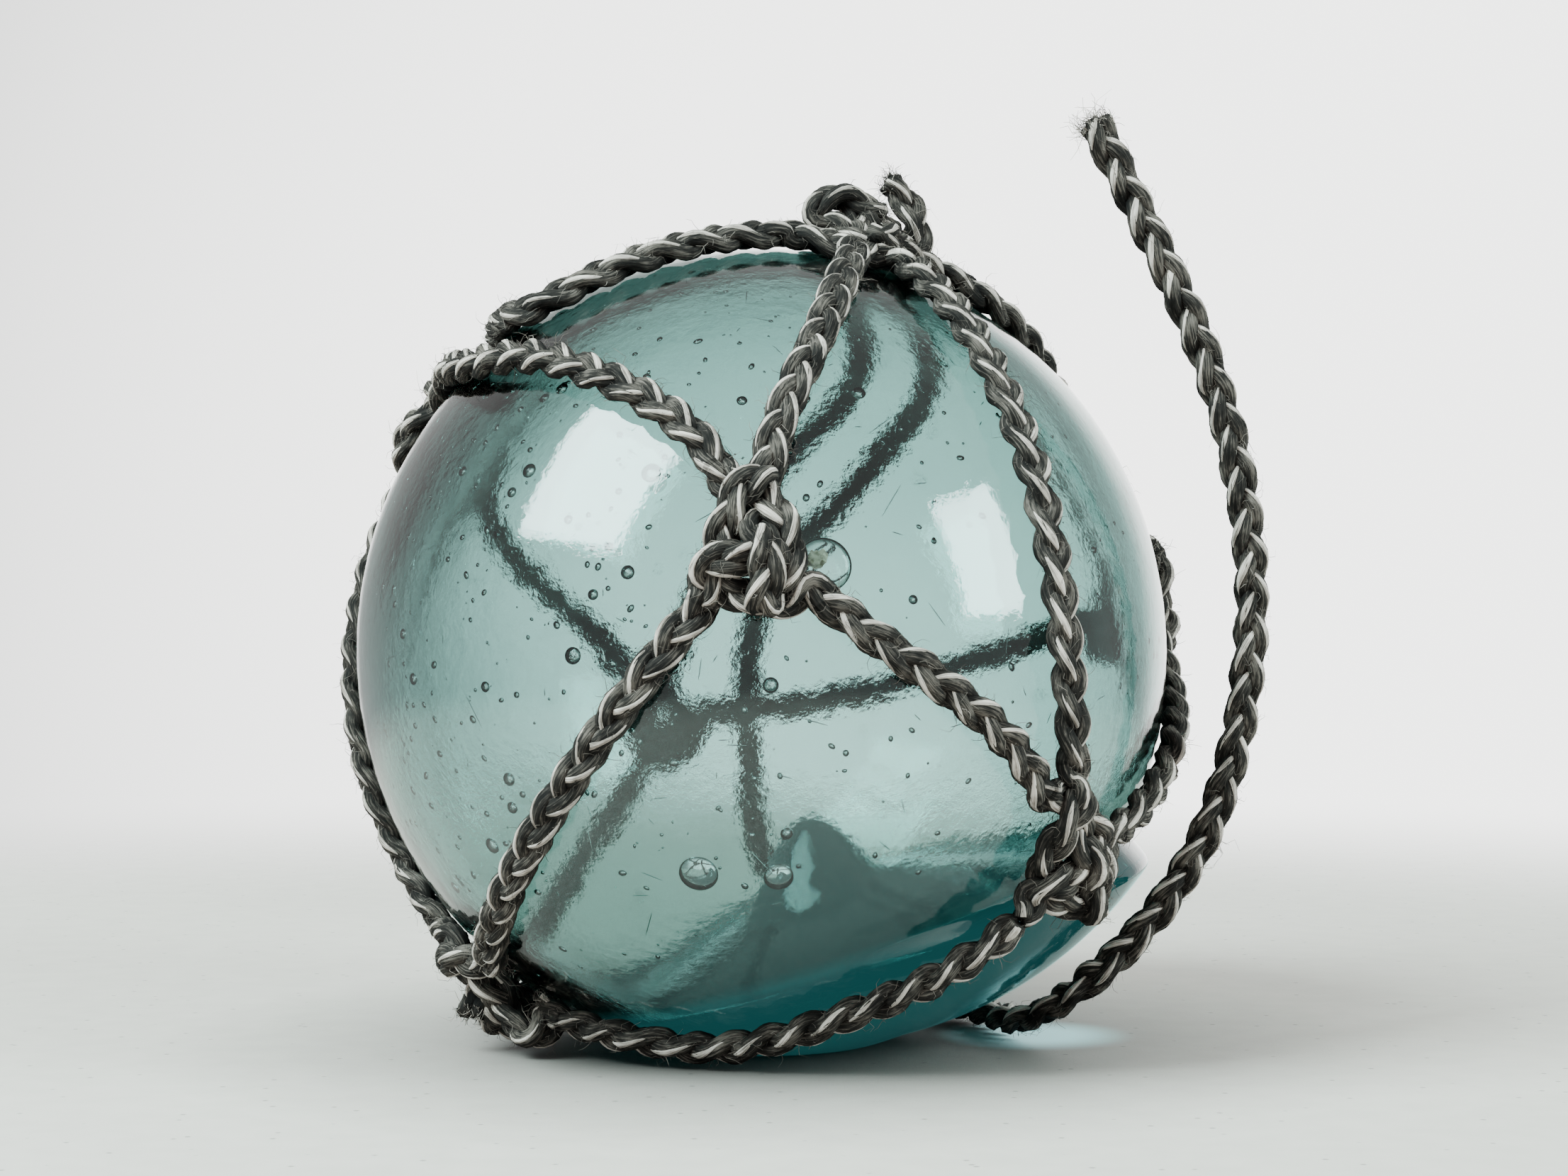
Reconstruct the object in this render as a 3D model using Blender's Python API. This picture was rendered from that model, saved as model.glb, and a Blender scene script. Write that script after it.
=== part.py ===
# Glass fishing float in a knotted net of braided cord, with its cord's free end standing beside it.
# Metres, +Z up, +Y away from the side that is usually looked at. The origin is on the surface that
# the float stands on, in the middle of its flat foot, straight below the middle of the ball.

import math

import bmesh
import bpy
from mathutils import Quaternion, Vector

# Glass ball
BALL_DIAMETER = 0.075
FOOT_DEPTH = 0.0015  # how much of the ball's depth its flat foot takes off
BALL_SEGMENTS, BALL_RINGS = 36, 24

# Seal: the gather of glass pressed over the blow hole. Its axis leans from straight down towards +X
SEAL_TILT = math.radians(18)
SEAL_HALF_ANGLE = math.radians(45)
SEAL_SWELL = 0.0011  # how much larger the radius of the seal's dome is than the ball's
SEAL_DOME_SIDE, SEAL_DOME_UP = 0.0037, 0.0023  # where the dome's middle lies from the ball's middle
SEAL_SEGMENTS = 40
SEAL_RINGS = (0.0, 0.22, 0.42, 0.6, 0.76, 0.88, 0.95, 0.985, 1.0)
SEAL_RIM_POWER = 14  # a higher power gives a sharper rim

# Cord and its net
CORD_DIAMETER = 0.0031
CLEARANCE = 0.0003  # between pieces that touch
CORD_STEP = 0.0058  # between two points of a cord that lies on the glass
KNOT_CORD_DIAMETER = 0.0029  # cord is pulled thinner where it is knotted
KNOT_REACH = 0.0068  # from a knot's middle to where its four cords leave it
KNOT_STEP = 0.0027  # between two points of a knot's strand
CROSSING_SPAN = 0.009  # from where a cord starts to rise over another to where it is above it
SMOOTHING = 0.0025  # how soon a cord climbs over the seal's edge
TAIL_STEP = 0.0068  # between two points of the free end
PATH_STEP = 0.0004  # between two places that are worked out along a cord
EASE_POINTS = 8  # of those places to each side, over which a cord's height is evened
CUT_GAP = 0.0005  # between a knot and the cords that leave it
STRAIGHT_POINTS = 3  # of those places, over which a knot's strand follows the cord that it becomes
CUT_END_TURN = math.radians(19)  # how far a bight with a cut end leans away from its other cord

ball_radius = BALL_DIAMETER / 2
cord_radius = CORD_DIAMETER / 2
knot_cord_radius = KNOT_CORD_DIAMETER / 2
ball_middle = Vector((0, 0, ball_radius - FOOT_DEPTH))
seal_seat = ball_radius * math.cos(SEAL_HALF_ANGLE) - CLEARANCE  # where the ball is cut flat
dome_radius = ball_radius + SEAL_SWELL
seal_axis = Vector((math.sin(SEAL_TILT), 0, -math.cos(SEAL_TILT)))
seal_side = Vector((math.cos(SEAL_TILT), 0, math.sin(SEAL_TILT)))
dome_offset = Vector((SEAL_DOME_SIDE, 0, SEAL_DOME_UP))
knot_scale = CORD_DIAMETER / 3.1  # the knots' strands are drawn in millimetres for a cord of 3.1 mm

# Where each knot lies on the ball, in degrees: round from -Y towards +X, and up from level. The two
# cords of its bight leave it above, the right-hand one first, and those of its wrap below, the
# left-hand one first; None is a cut end. A tucked cord ends inside the knot. Spread is how many times
# further out than usual the cords leave it. Own strands are along X, Y and Z from the knot's middle
KNOTS = {
    "knot_front": {
        "at": (-1, 15), "bight": ("cord_top_front", "cord_front_left"),
        "wrap": ("cord_front_lower_left", "cord_front_right"),
    },
    "knot_right": {
        "at": (47, -24), "spread": 1.12, "bight": ("cord_top_right", "cord_front_right"),
        "wrap": ("cord_foot_front", "cord_right_back"),
    },
    "knot_lower_left": {
        "at": (-75, -50), "spread": 1.3, "bight": ("cord_front_lower_left", "cord_left_side"),
        "wrap": ("cord_back_lower", "cord_foot_front"), "tucked": ("cord_foot_back",),
        "own": [[(0.4, -1.0, 0.6), (1.2, -3.0, -2.0), (2.4, -4.4, -4.0), (3.8, -5.2, -4.3), (5.0, -5.2, -3.2),
                 (4.6, -4.0, -1.2)],
                [(0.5, 0.7, 0.3), (-1.6, -1.1, -1.3), (-2.2, -1.7, -3.6)]],
    },
    "knot_left": {
        "at": (-109, 32), "bight": ("cord_front_left", "cord_top_left"),
        "wrap": ("cord_back_upper", "cord_left_side"),
    },
    "knot_top": {
        "at": (66, 75), "spread": 1.25, "bight": ("cord_top_back_right", "cord_top_left"),
        "wrap": ("cord_top_front", "cord_top_right"), "tucked": ("cord_top_back", "cord_top_foot"),
        "own": [[(1.5, 0.6, 2.6), (-1.0, -0.2, 4.2), (-3.6, -0.4, 4.0), (-4.6, -0.4, 2.4), (-2.6, 0.0, 1.2)],
                [(3.6, 2.6, -0.6), (4.2, 3.6, 2.4), (3.0, 4.0, 5.2), (1.8, 4.2, 7.4)]],
    },
    "knot_back": {
        "at": (-162, -12.5), "bight": ("cord_back_upper", "cord_top_back"),
        "wrap": ("cord_back_across", "cord_back_lower"),
    },
    "knot_back_right": {
        "at": (109, 6), "bight": ("cord_top_back_right", None),
        "wrap": ("cord_right_back", "cord_back_across"),
    },
    "knot_back_foot": {
        "at": (176, -50), "bight": ("cord_top_foot", None), "wrap": ("cord_tail", "cord_foot_back"),
    },
}

# Each cord runs from one knot to another past the places in its list, in the same degrees
NET_CORDS = {
    "cord_top_front": ("knot_top", [(13, 50), (2, 30)], "knot_front"),
    "cord_top_right": ("knot_top", [(45, 52), (41, 30), (41, 3)], "knot_right"),
    "cord_top_left": ("knot_top", [(-42, 68), (-63, 53), (-88, 52), (-107, 47)], "knot_left"),
    "cord_top_back_right": ("knot_top", [(92, 57), (112, 36), (108, 21)], "knot_back_right"),
    "cord_top_back": ("knot_top", [(135, 70), (157, 48), (177, 30), (-170, 9)], "knot_back"),
    "cord_top_foot": ("knot_top", [(115, 64), (140, 45), (161, 28), (180, 6), (-177, -28)],
                      "knot_back_foot"),
    "cord_front_left": ("knot_front", [(-10, 30), (-39, 42), (-67, 42), (-93, 41)], "knot_left"),
    "cord_front_lower_left": ("knot_front", [(-16, -3), (-38, -28)], "knot_lower_left"),
    "cord_front_right": ("knot_front", [(12, 5), (32, -9)], "knot_right"),
    "cord_left_side": ("knot_left", [(-104, 17), (-98, 0), (-95, -17), (-94, -30), (-85, -41)], "knot_lower_left"),
    "cord_foot_front": ("knot_lower_left", [(-37, -59), (-12, -61), (18, -51)], "knot_right"),
    "cord_right_back": ("knot_right", [(62, -22), (80, -13), (96, -5)], "knot_back_right"),
    "cord_back_upper": ("knot_left", [(-125, 20), (-140, 9), (-151, 1)], "knot_back"),
    "cord_back_across": ("knot_back", [(176, -10), (155, -5), (132, 1)], "knot_back_right"),
    "cord_back_lower": ("knot_back", [(-155, -25), (-142, -36), (-118, -48)], "knot_lower_left"),
    "cord_foot_back": ("knot_back_foot", [(-162, -58), (-134, -61), (-104, -59)], "knot_lower_left"),
}

# Where a cord passes over another that lies on the glass
CROSSINGS = {"cord_top_foot": (-178, -11)}

# Free end: out of the lowest knot at the back, along the floor past the seal, then up by its own
# stiffness. Points in millimetres, from the knot to the frayed tip
TAIL_ROUTE = [
    (7.4, 21.8, 3.0), (10.6, 19.6, 1.8), (14.8, 16.2, 1.6), (18.9, 11.2, 1.6), (21.8, 4.8, 1.6),
    (23.6, -1.2, 1.9), (26.0, -5.2, 3.4), (29.4, -7.8, 6.2), (33.4, -9.2, 10.2), (37.2, -10.0, 15.2),
    (40.2, -10.4, 20.8), (42.2, -10.6, 26.8), (43.4, -10.8, 33.0), (43.9, -11.0, 39.2),
    (43.7, -11.2, 45.4), (42.8, -11.4, 51.8), (41.2, -11.6, 58.2), (38.9, -11.8, 64.6),
    (36.0, -12.0, 71.0), (32.8, -12.2, 77.4), (29.6, -12.4, 83.6),
]

# The netting knot: an upper cord makes a bight that crosses itself at the neck, and a lower cord goes
# over it, behind its neck and down across the front. Sideways and upwards in millimetres from the
# knot's middle, with the layer of cord above the glass: 0 lies on it
BIGHT = [
    (2.2, 6.4, 0.0), (1.0, 5.4, 0.8), (-1.0, 3.6, 0.9), (-2.6, 1.2, 0.2), (-2.9, -1.4, 0.0),
    (-1.6, -3.7, 0.0), (0.8, -4.3, 0.0), (3.0, -2.7, 0.3), (3.6, 0.0, 0.5), (2.3, 2.9, 0.4),
    (0.2, 4.9, 0.0), (-2.2, 6.4, 0.0),
]
WRAP = [
    (-5.2, -4.4, 0.0), (-3.2, -2.4, 0.7), (-1.2, -1.1, 0.9), (0.3, 0.4, 0.8), (1.0, -1.4, 1.3),
    (1.3, -3.6, 1.1), (2.0, -4.9, 0.6), (3.6, -4.4, 0.1), (5.2, -4.4, 0.0),
]
LAYER_HEIGHT = 0.0026

COLOURS = {
    "float_glass": ((0.33, 0.50, 0.49, 1), 0.06),
    "seal_glass": ((0.04, 0.19, 0.20, 1), 0.08),
    "cord": ((0.075, 0.068, 0.06, 1), 0.9),
}


def clear_scene():
    for scene_object in list(bpy.data.objects):
        bpy.data.objects.remove(scene_object, do_unlink=True)


def make_material(name):
    colour, roughness = COLOURS[name]
    material = bpy.data.materials.new(name)
    material.use_nodes = True
    shader = material.node_tree.nodes["Principled BSDF"]
    shader.inputs["Base Color"].default_value = colour
    shader.inputs["Roughness"].default_value = roughness
    shader.inputs["Metallic"].default_value = 0.0
    return material


def direction(place):
    """Unit vector from the ball's middle to a place given as (round, up) in degrees."""
    around, up = (math.radians(v) for v in place)
    return Vector((math.sin(around) * math.cos(up), -math.cos(around) * math.cos(up), math.sin(up)))


def smoothstep(value):
    value = min(max(value, 0.0), 1.0)
    return value * value * (3 - 2 * value)


def sphere_reach(along, offset, radius):
    """How far a sphere of this radius, its middle moved by offset, reaches along a direction."""
    shift = along.dot(offset)
    return shift + math.sqrt(radius**2 - offset.length_squared + shift**2)


def seal_reach(along):
    """The seal's outer surface: its own dome, easing into the ball's roundness on its -X side."""
    inner_share = -along.dot(seal_side) / math.sin(SEAL_HALF_ANGLE)
    ease = smoothstep(inner_share)
    return sphere_reach(along, dome_offset, dome_radius) * (1 - ease) + ball_radius * ease


def glass_reach(along):
    if along.angle(seal_axis) > SEAL_HALF_ANGLE:
        return ball_radius
    return max(seal_reach(along), seal_seat)


def clear_reach(along, spread=SMOOTHING):
    """The furthest that the glass reaches within a short way of a direction."""
    across = along.orthogonal().normalized()
    other = along.cross(across)
    furthest = glass_reach(along)
    for i in range(8):
        turn = i * math.tau / 8
        near = along * ball_radius + (across * math.cos(turn) + other * math.sin(turn)) * spread
        furthest = max(furthest, glass_reach(near.normalized()))
    return furthest


def lift_off_floor(point, radius):
    return Vector((point.x, point.y, max(point.z, radius)))


def catmull_rom(points, step):
    """Points about a step apart on a smooth curve through the given points."""
    ends = [points[0] * 2 - points[1], *points, points[-1] * 2 - points[-2]]
    fine = []
    for a, b, c, d in zip(ends, ends[1:], ends[2:], ends[3:]):
        for i in range(12):
            t = i / 12
            fine.append(0.5 * (2 * b + (c - a) * t + (2 * a - 5 * b + 4 * c - d) * t**2
                               + (3 * b - a - 3 * c + d) * t**3))
    fine.append(points[-1])
    return resample(fine, step)


def resample(points, step):
    lengths = [0.0]
    for a, b in zip(points, points[1:]):
        lengths.append(lengths[-1] + (b - a).length)
    count = max(2, round(lengths[-1] / step) + 1)
    result, k = [], 0
    for i in range(count):
        wanted = lengths[-1] * i / (count - 1)
        while k < len(points) - 2 and lengths[k + 1] < wanted:
            k += 1
        share = (wanted - lengths[k]) / max(lengths[k + 1] - lengths[k], 1e-9)
        result.append(points[k].lerp(points[k + 1], min(max(share, 0), 1)))
    return result


def add_object(name, data, material, collection):
    if not data.materials:
        data.materials.append(material)
    new_object = bpy.data.objects.new(name, data)
    collection.objects.link(new_object)
    return new_object


def tube_curve(name, points, radius, roundness=2):
    curve = bpy.data.curves.new(name, "CURVE")
    curve.dimensions = "3D"
    curve.bevel_depth = radius
    curve.bevel_resolution = roundness
    curve.use_fill_caps = True
    curve.resolution_u = 1
    spline = curve.splines.new("POLY")
    spline.points.add(len(points) - 1)
    for spline_point, point in zip(spline.points, points):
        spline_point.co = (*point, 1)
    return curve


def make_ball(material, collection):
    """The blown ball, cut flat where the seal is pressed on."""
    mesh = bpy.data.meshes.new("glass_float")
    work = bmesh.new()
    bmesh.ops.create_uvsphere(work, u_segments=BALL_SEGMENTS, v_segments=BALL_RINGS, radius=ball_radius)
    to_seal = Vector((0, 0, -1)).rotation_difference(seal_axis)
    bmesh.ops.rotate(work, verts=work.verts, cent=(0, 0, 0), matrix=to_seal.to_matrix())
    geometry = work.verts[:] + work.edges[:] + work.faces[:]
    cut = bmesh.ops.bisect_plane(work, geom=geometry, plane_co=seal_axis * seal_seat,
                                 plane_no=seal_axis, clear_outer=True)
    rim = [e for e in cut["geom_cut"] if isinstance(e, bmesh.types.BMEdge)]
    bmesh.ops.edgeloop_fill(work, edges=rim)
    bmesh.ops.recalc_face_normals(work, faces=work.faces)
    work.to_mesh(mesh)
    work.free()
    mesh.shade_smooth()
    mesh.set_sharp_from_angle(angle=math.radians(35))
    ball = add_object("glass_float", mesh, material, collection)
    ball.location = ball_middle
    return ball


def make_seal(material, collection):
    """The thick button of glass, domed outside, flat inside and flat where it stands on the floor."""
    mesh = bpy.data.meshes.new("seal_button")
    work = bmesh.new()
    seat = seal_seat + CLEARANCE
    to_front = seal_axis.cross(seal_side)
    rings = []
    for share in SEAL_RINGS:
        ring = []
        for i in range(SEAL_SEGMENTS if share else 1):
            turn = i * math.tau / SEAL_SEGMENTS
            outward = seal_side * math.cos(turn) + to_front * math.sin(turn)
            angle = share * SEAL_HALF_ANGLE
            along = seal_axis * math.cos(angle) + outward * math.sin(angle)
            inner = seat / math.cos(angle)
            rim_share = max(0.0, 1 - share**SEAL_RIM_POWER) ** (1 / SEAL_RIM_POWER * 6)
            reach = inner + (max(seal_reach(along), inner) - inner) * rim_share
            ring.append(work.verts.new(along * reach))
        rings.append(ring)
    for a, b in zip(rings[0] * SEAL_SEGMENTS, range(SEAL_SEGMENTS)):
        work.faces.new((a, rings[1][b], rings[1][(b + 1) % SEAL_SEGMENTS]))
    for inner_ring, outer_ring in zip(rings[1:], rings[2:]):
        for i in range(SEAL_SEGMENTS):
            j = (i + 1) % SEAL_SEGMENTS
            work.faces.new((inner_ring[i], outer_ring[i], outer_ring[j], inner_ring[j]))
    work.faces.new(rings[-1])
    floor = Vector((0, 0, -ball_middle.z))
    geometry = work.verts[:] + work.edges[:] + work.faces[:]
    cut = bmesh.ops.bisect_plane(work, geom=geometry, plane_co=floor, plane_no=(0, 0, -1), clear_outer=True)
    foot = [e for e in cut["geom_cut"] if isinstance(e, bmesh.types.BMEdge)]
    bmesh.ops.edgeloop_fill(work, edges=foot)
    bmesh.ops.recalc_face_normals(work, faces=work.faces)
    work.to_mesh(mesh)
    work.free()
    mesh.shade_smooth()
    mesh.set_sharp_from_angle(angle=math.radians(35))
    seal = add_object("seal_button", mesh, material, collection)
    seal.location = ball_middle
    return seal


def rise(name, along):
    """How much higher a cord lies where it passes over another."""
    if name not in CROSSINGS:
        return 0.0
    away = along.angle(direction(CROSSINGS[name])) * ball_radius
    return (CORD_DIAMETER + CLEARANCE) * smoothstep(1.5 * (1 - away / CROSSING_SPAN))


def cord_path(name):
    """Closely spaced places of a net cord's middle, from the middle of one knot to the other's."""
    start, between, end = NET_CORDS[name]
    marks = [direction(p) for p in (KNOTS[start]["at"], *between, KNOTS[end]["at"])]
    turns = [point.normalized() for point in catmull_rom(marks, PATH_STEP / ball_radius)]
    reaches = [clear_reach(along) + CLEARANCE + cord_radius + rise(name, along) for along in turns]
    eased = []
    for i in range(len(reaches)):
        near = reaches[max(0, i - EASE_POINTS):i + EASE_POINTS + 1]
        eased.append(max(reaches[i], sum(near) / len(near)))
    return [lift_off_floor(ball_middle + t * r, cord_radius) for t, r in zip(turns, eased)]


def knot_middle(knot):
    along = direction(knot["at"])
    return ball_middle + along * (clear_reach(along) + CLEARANCE + cord_radius)


def knot_reach(knot):
    return KNOT_REACH * knot.get("spread", 1)


def part_of_path(path, middle, nearest, furthest=1.0):
    """The stretch of a path whose distance from a knot's middle is between two values."""
    return [p for p in path if nearest <= (p - middle).length <= furthest]


def free_path(name):
    """A net cord between the knots at its ends, less what belongs to them."""
    start, _, end = NET_CORDS[name]
    path = cord_path(name)
    for knot in (KNOTS[start], KNOTS[end]):
        path = part_of_path(path, knot_middle(knot), knot_reach(knot) + CUT_GAP)
    return path


def leaving(name, knot_name):
    """Two places where a cord leaves a knot, the outer one first."""
    if name == "cord_tail":
        start, after = (Vector(p) / 1000 for p in TAIL_ROUTE[:2])
        back = (start - after).normalized()
        return start + back * CUT_GAP, start + back * (CUT_GAP + STRAIGHT_POINTS * PATH_STEP)
    path = cord_path(name)
    if NET_CORDS[name][2] == knot_name:
        path = path[::-1]
    knot = KNOTS[knot_name]
    inside = part_of_path(path, knot_middle(knot), 0, knot_reach(knot))
    return inside[-1], inside[-1 - STRAIGHT_POINTS]


def knot_frame(knot_name):
    """Outward, rightward and upward in a knot, whose up is midway between its bight's two cords."""
    knot = KNOTS[knot_name]
    out = direction(knot["at"])
    middle = knot_middle(knot)
    above = sum(((leaving(c, knot_name)[0] - middle).normalized() for c in knot["bight"] if c), Vector())
    up = (above - out * above.dot(out)).normalized()
    if None in knot["bight"]:
        up.rotate(Quaternion(out, CUT_END_TURN))
    return out, up.cross(out), up


def knot_point(frame, sideways, upwards, layer):
    """A place in a knot: right and up from its middle, and layers of cord above the glass."""
    out, right, up = frame
    along = (out * ball_radius + right * sideways + up * upwards).normalized()
    reach = clear_reach(along) + CLEARANCE + knot_cord_radius + layer * LAYER_HEIGHT
    return lift_off_floor(ball_middle + along * reach, knot_cord_radius)


def strand(knot_name, template, cords):
    """One strand of a knot, running straight out to the cords at its ends."""
    frame = knot_frame(knot_name)
    points = [knot_point(frame, x * knot_scale, y * knot_scale, layer) for x, y, layer in template]
    ends = [leaving(cord, knot_name) if cord else None for cord in cords]
    for place, end in zip((0, -1), ends):
        if end:
            points[place] = end[1]
    points = catmull_rom(points, KNOT_STEP)
    return [*(e[0] for e in ends[:1] if e), *points, *(e[0] for e in ends[1:] if e)]


def knot_strands(knot_name):
    knot = KNOTS[knot_name]
    middle = knot_middle(knot)
    strands = [strand(knot_name, BIGHT, knot["bight"]), strand(knot_name, WRAP, knot["wrap"])]
    for name in knot.get("tucked", ()):
        strands.append([*leaving(name, knot_name), middle + direction(knot["at"]) * LAYER_HEIGHT * 0.7])
    for own in knot.get("own", ()):
        points = [lift_off_floor(middle + Vector(p) * knot_scale, knot_cord_radius) for p in own]
        strands.append(catmull_rom(points, KNOT_STEP))
    return strands


def tube_to_mesh_object(name, points, radius, collection):
    """A capped tube as a closed mesh, for joining to others."""
    curve_object = bpy.data.objects.new(name, tube_curve(name, points, radius, roundness=1))
    collection.objects.link(curve_object)
    evaluated = curve_object.evaluated_get(bpy.context.evaluated_depsgraph_get())
    mesh = bpy.data.meshes.new_from_object(evaluated)
    bpy.data.objects.remove(curve_object, do_unlink=True)
    work = bmesh.new()
    work.from_mesh(mesh)
    bmesh.ops.remove_doubles(work, verts=work.verts, dist=0.00001)
    bmesh.ops.recalc_face_normals(work, faces=work.faces)
    work.to_mesh(mesh)
    work.free()
    mesh_object = bpy.data.objects.new(name, mesh)
    collection.objects.link(mesh_object)
    return mesh_object


def make_knot(name, material, collection, cutters):
    """A knot's strands, joined into one body."""
    pieces = [tube_to_mesh_object(f"{name}_strand", points, knot_cord_radius, cutters)
              for points in knot_strands(name)]
    for other in pieces[1:]:
        union = pieces[0].modifiers.new(other.name, "BOOLEAN")
        union.operation = "UNION"
        union.object = other
        union.use_self = True
    evaluated = pieces[0].evaluated_get(bpy.context.evaluated_depsgraph_get())
    mesh = bpy.data.meshes.new_from_object(evaluated)
    mesh.name = name
    for piece in pieces:
        bpy.data.objects.remove(piece, do_unlink=True)
    mesh.materials.clear()
    mesh.shade_smooth()
    mesh.set_sharp_from_angle(angle=math.radians(50))
    return add_object(name, mesh, material, collection)


def main():
    clear_scene()
    parts = bpy.data.collections.new("glass_float_ball")
    cutters = bpy.data.collections.new("cutters")
    for collection in (parts, cutters):
        bpy.context.scene.collection.children.link(collection)
    float_glass, seal_glass, cord = (make_material(name) for name in COLOURS)
    make_ball(float_glass, parts)
    make_seal(seal_glass, parts)
    for name in NET_CORDS:
        add_object(name, tube_curve(name, resample(free_path(name), CORD_STEP), cord_radius), cord, parts)
    for name in KNOTS:
        make_knot(name, cord, parts, cutters)
    tail_points = catmull_rom([Vector(p) / 1000 for p in TAIL_ROUTE], TAIL_STEP)
    add_object("cord_tail", tube_curve("cord_tail", tail_points, cord_radius), cord, parts)


main()
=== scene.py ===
import math

import bmesh
import bpy
import numpy as np
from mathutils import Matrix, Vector


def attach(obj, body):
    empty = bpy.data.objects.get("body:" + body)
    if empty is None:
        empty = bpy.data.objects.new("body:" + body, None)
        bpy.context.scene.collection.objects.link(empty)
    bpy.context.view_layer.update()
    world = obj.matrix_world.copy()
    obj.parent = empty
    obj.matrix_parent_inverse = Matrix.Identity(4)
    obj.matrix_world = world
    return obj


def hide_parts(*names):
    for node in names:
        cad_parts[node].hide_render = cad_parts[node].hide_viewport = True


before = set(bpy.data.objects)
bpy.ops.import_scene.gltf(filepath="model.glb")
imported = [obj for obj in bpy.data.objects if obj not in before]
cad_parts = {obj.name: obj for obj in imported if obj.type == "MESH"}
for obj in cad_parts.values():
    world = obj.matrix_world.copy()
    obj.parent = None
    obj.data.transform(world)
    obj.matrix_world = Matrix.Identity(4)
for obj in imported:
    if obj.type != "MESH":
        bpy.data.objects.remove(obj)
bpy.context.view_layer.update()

mm = 0.001
random = np.random.default_rng(7)

# camera first: a little above level, three ball widths away
camera = {"lens": 74, "sensor": 36, "place": (0, -299.8, 46.5), "yaw": 0.39, "pitch": -0.86,
          "pixels": (2212, 1659), "pixelsPerMm": 15.25, "nearest": 0.01}


def makeCamera():
    data = bpy.data.cameras.new("photoCamera")
    data.lens = camera["lens"]
    data.sensor_width = camera["sensor"]
    data.clip_start = camera["nearest"]
    eye = bpy.data.objects.new("photoCamera", data)
    eye.location = [v * mm for v in camera["place"]]
    eye.rotation_euler = (math.radians(90 + camera["pitch"]), 0, -math.radians(camera["yaw"]))
    bpy.context.scene.collection.objects.link(eye)
    bpy.context.scene.camera = eye
    bpy.context.view_layer.update()
    return eye


eye = makeCamera()
print("camera ready")

# everything from here to the meshes is in millimetres, in the frame's own axes
ball = {
    "radius": 37.5, "middle": np.array((0, 0, 36.0)), "foot": 0.02,
    "wall": 2.75, "wallTowardsSeal": -0.35,  # thinner towards the seal and thicker opposite
    "thick": {"at": (-80, 33), "more": 0.6, "over": 24},       # a thicker patch, in degrees
    "wave": 0.16, "innerWave": 0.2,          # how uneven the outside and the inside are
    "relief": 0.0004,                        # metres, of the finer waves in the skin
    "rings": 128, "around": 200,
    # share of the rings and the angle that they reach: closer together where the seal's rim is
    "ringPlaces": [(0, 0), (0.3, 36), (0.36, 42), (0.52, 48), (0.58, 54), (1, 180)],
}
seal = {
    "tilt": 18, "halfAngle": 45, "domeRadius": 38.6, "side": 3.7, "up": 2.3,
    "seat": 28.2, "bulge": 6.2, "lean": 4.5,  # the air space's floor: how far out, its rise, its tilt
    "seatWave": 0.3, "seatBlend": 3.0,        # how uneven it is, and how gently it runs into the wall
    "rim": 2.6,                               # degrees over which the rim drops to the ball
    "lump": {"towards": (3.6, 1.0, -17.0), "tall": 6.2, "halfWidth": 16.5},
    "skin": 0.05,                             # the dark glass reaches this far past the clear one
    "inset": 0.35, "rings": 56, "around": 160,
}
cord = {
    "width": 3.1, "height": 1.35,            # its middle's height above the glass
    "clear": 2.5, "lowest": 1.3,             # clears the seal's edge by the one, the floor by the other
    "foot": 0.03,
    "knotReach": 6.8, "step": 0.34, "pathStep": 0.4,
    "tailGrip": (0.3, 1.5),                  # how far inside its knot the free end's strand begins
    "cutEndTurn": 0.33,                      # radians that a knot's bight with a cut end leans aside
    "easedOver": 8,                          # path steps to each side over which its height is evened
    "tuckedHeight": 1.6,                     # of a cord's hidden end above its knot's middle
    "period": 11.2,                          # length in which a strand goes there and back
    "strand": 0.8, "sideways": 0.78, "depth": 0.5,
    "squeeze": 0.9,                          # a strand is flatter where it crosses the middle
    "follow": 0.12,                          # how soon the plait's flat side turns with the glass
    "open": (0.1, 0.9), "openEdge": 0.5,     # heights between which it comes out of the furrows
    "sides": 14, "flutes": 5, "fluteDepth": 0.075, "fluteTwist": 0.55,    # radians to the millimetre
    "wander": {"phase": (0.16, 14), "sideways": (0.07, 8), "strand": (0.05, 6)},    # amount and length
    "tailTurns": (4, 18),                    # heights between which the free end turns to face the front
}
paleYarn = {
    "wide": 0.28, "thick": 0.1, "proud": 0.05, "sink": 0.2, "sides": 6,
    "late": 1.5,                             # radians past a crossing where it shows most
    "least": 0.05, "narrowing": 1.1,         # its share of width where it sinks in, and how soon it thins
    "wander": {"lay": (0.45, 17), "seen": (0.8, 15), "wide": (0.5, 5)},
}
fuzz = {
    "perMm": 7.0, "long": (0.5, 2.6), "radius": 0.028, "bends": 3, "outward": (0.25, 1.0), "spread": 0.9,
    "stray": 0.35, "curl": (0.1, 0.55), "curlTurns": (1.5, 6.5), "droop": 0.25, "thickness": (1.1, 0.5),
    "under": -0.3,                           # none on the side that lies on the glass
}
tuft = {"count": 160, "long": (0.8, 2.4), "radius": 0.035, "spread": 0.35, "wispSpread": 0.2,
        "wisp": 60, "wispLong": (1.6, 4.2), "wispLeans": (-0.9, 0, -0.1)}     # at the tip of the free end

sealAxis = np.array((math.sin(math.radians(seal["tilt"])), 0, -math.cos(math.radians(seal["tilt"]))))
sealSide = np.array((math.cos(math.radians(seal["tilt"])), 0, math.sin(math.radians(seal["tilt"]))))

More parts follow.
